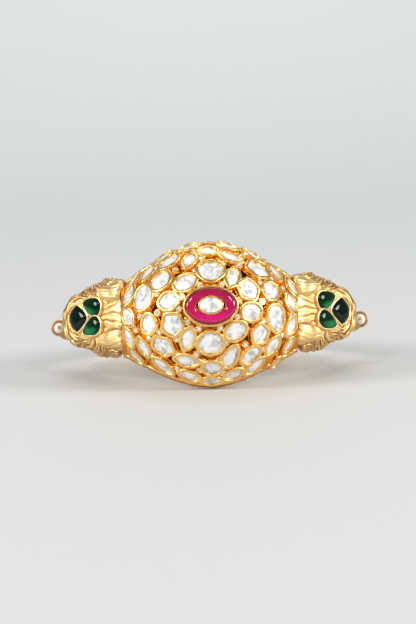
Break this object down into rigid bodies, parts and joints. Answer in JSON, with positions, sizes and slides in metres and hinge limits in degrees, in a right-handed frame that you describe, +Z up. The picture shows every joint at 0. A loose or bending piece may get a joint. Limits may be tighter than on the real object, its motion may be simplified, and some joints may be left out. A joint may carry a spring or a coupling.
{
  "type": "kundan bangle",
  "caption": "Rigid gold bangle with a pierced dome of flat foil-backed diamonds round an oval ruby, between two animal heads with green stones and pearls.",
  "frame": {"origin": "on the floor, under the middle of the bounding box", "axes": "+X along the front from head to head, the dome faces -Y, +Z up; the bangle lies on its side and leans back 13.8 degrees, on the dome's lower rim and the band's back edge"},
  "size_m": [0.0846, 0.0773, 0.0365],
  "materials": {
    "plain_gold": "smooth polished 22 carat yellow gold",
    "kundan_gold": "burnished pure gold walls over a pierced gold shell",
    "chased_gold": "cast and chased gold with a matt bloom",
    "flat_diamond": "flat cut diamond slice over silver foil",
    "round_diamond": "small facetted diamond in a closed setting",
    "ruby": "polished pink-red stone over foil",
    "green_stone": "polished dark green stone in a closed setting",
    "pearl": "white pearl with a soft lustre"
  },
  "bodies": {
    "root": {"wrist_band": "plain_gold", "wrist_plate": "plain_gold", "dome_cage": "kundan_gold", "head_left": "chased_gold", "head_right": "chased_gold", "pearl_left": "pearl", "pearl_right": "pearl", "ruby_ring": "ruby", "heart_polki": "flat_diamond", "emerald_left_upper": "green_stone", "emerald_left_lower": "green_stone", "emerald_left_brow": "green_stone", "emerald_right_upper": "green_stone", "emerald_right_lower": "green_stone", "emerald_right_brow": "green_stone", "polki_01": "flat_diamond", "polki_02": "flat_diamond", "polki_03": "flat_diamond", "polki_04": "flat_diamond", "polki_05": "flat_diamond", "polki_06": "flat_diamond", "polki_07": "flat_diamond", "polki_08": "flat_diamond", "polki_09": "flat_diamond", "polki_10": "flat_diamond", "polki_11": "flat_diamond", "polki_12": "flat_diamond", "polki_13": "flat_diamond", "polki_14": "flat_diamond", "polki_15": "flat_diamond", "polki_16": "flat_diamond", "polki_17": "flat_diamond", "polki_18": "flat_diamond", "polki_19": "flat_diamond", "polki_20": "flat_diamond", "polki_21": "flat_diamond", "polki_22": "flat_diamond", "polki_23": "flat_diamond", "polki_24": "flat_diamond", "polki_25": "flat_diamond", "polki_26": "flat_diamond", "rim_polki_upper": "flat_diamond", "rim_polki_lower": "flat_diamond", "spark_diamonds": "round_diamond"}
  },
  "joints": []
}
